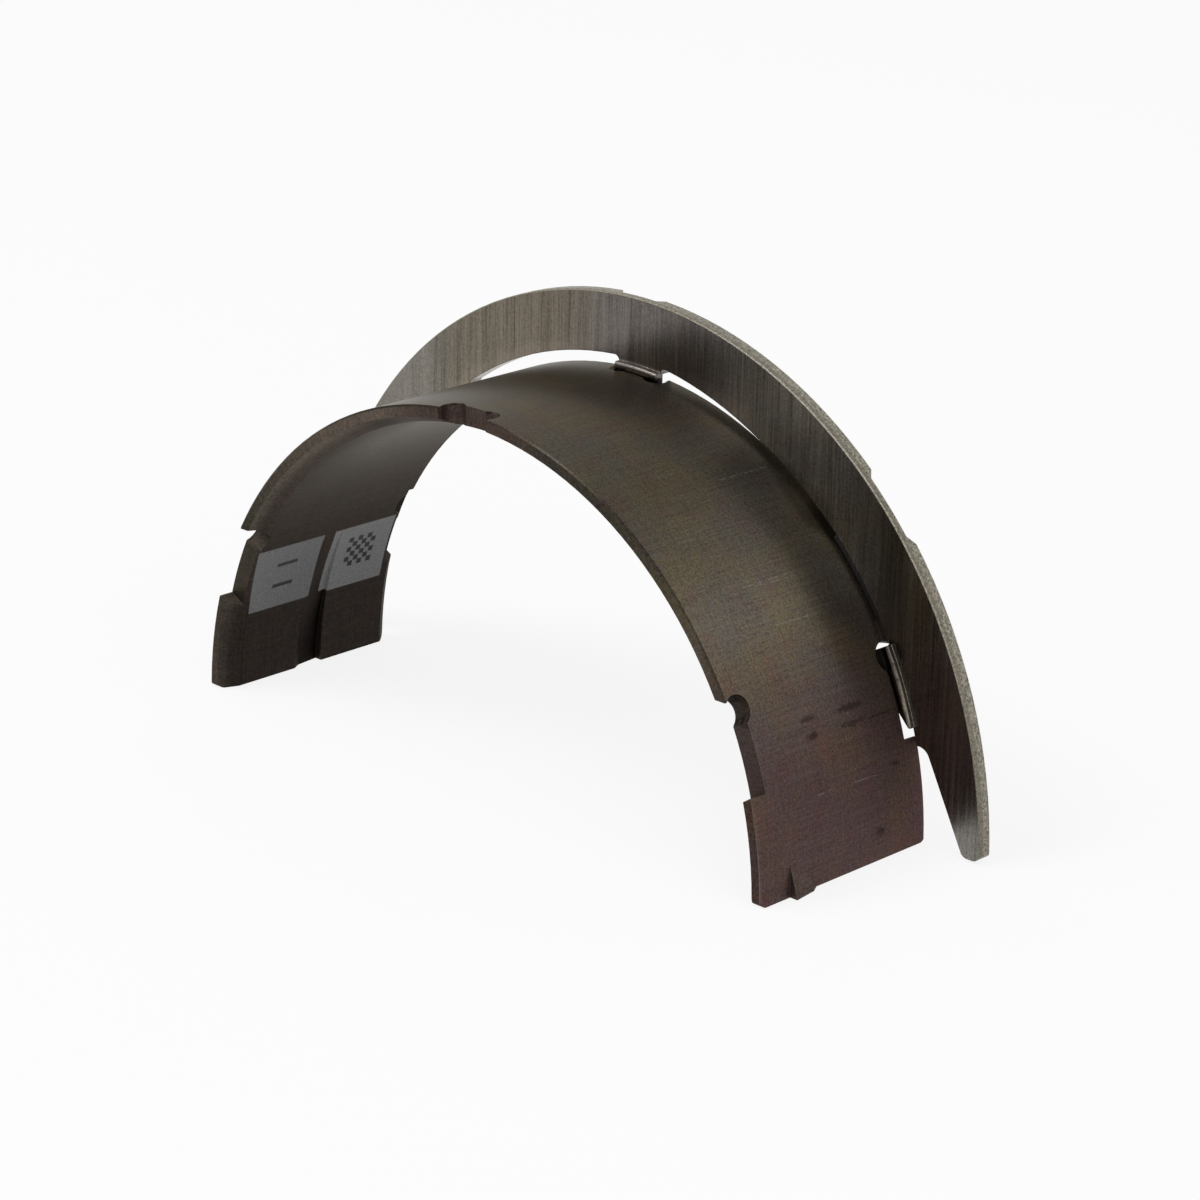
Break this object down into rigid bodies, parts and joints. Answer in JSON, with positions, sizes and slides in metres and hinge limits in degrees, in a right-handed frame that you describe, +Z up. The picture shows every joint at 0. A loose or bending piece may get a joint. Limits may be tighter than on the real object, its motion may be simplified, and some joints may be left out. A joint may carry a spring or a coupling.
{
  "type": "engine bearing shell",
  "caption": "Thin-wall half bearing shell for a crankshaft journal, with edge cut-outs and locating lugs, and a stamped half thrust washer clipped to its rear edge.",
  "frame": {"origin": "on the bearing axis, at the middle of the shell's width; the free shell is sprung open a little, so its parting faces lie 0.6 mm above the axis", "axes": "Y along the bearing axis with the thrust washer at +Y, X across the two parting faces, Z up to the crown of the half round"},
  "size_m": [0.0952, 0.0245, 0.047],
  "materials": {
    "shell_metal": "satin, warm brown-grey",
    "washer_steel": "straight ground, satin"
  },
  "bodies": {
    "root": {"bearing_shell": "shell_metal", "thrust_washer": "washer_steel"}
  },
  "joints": []
}
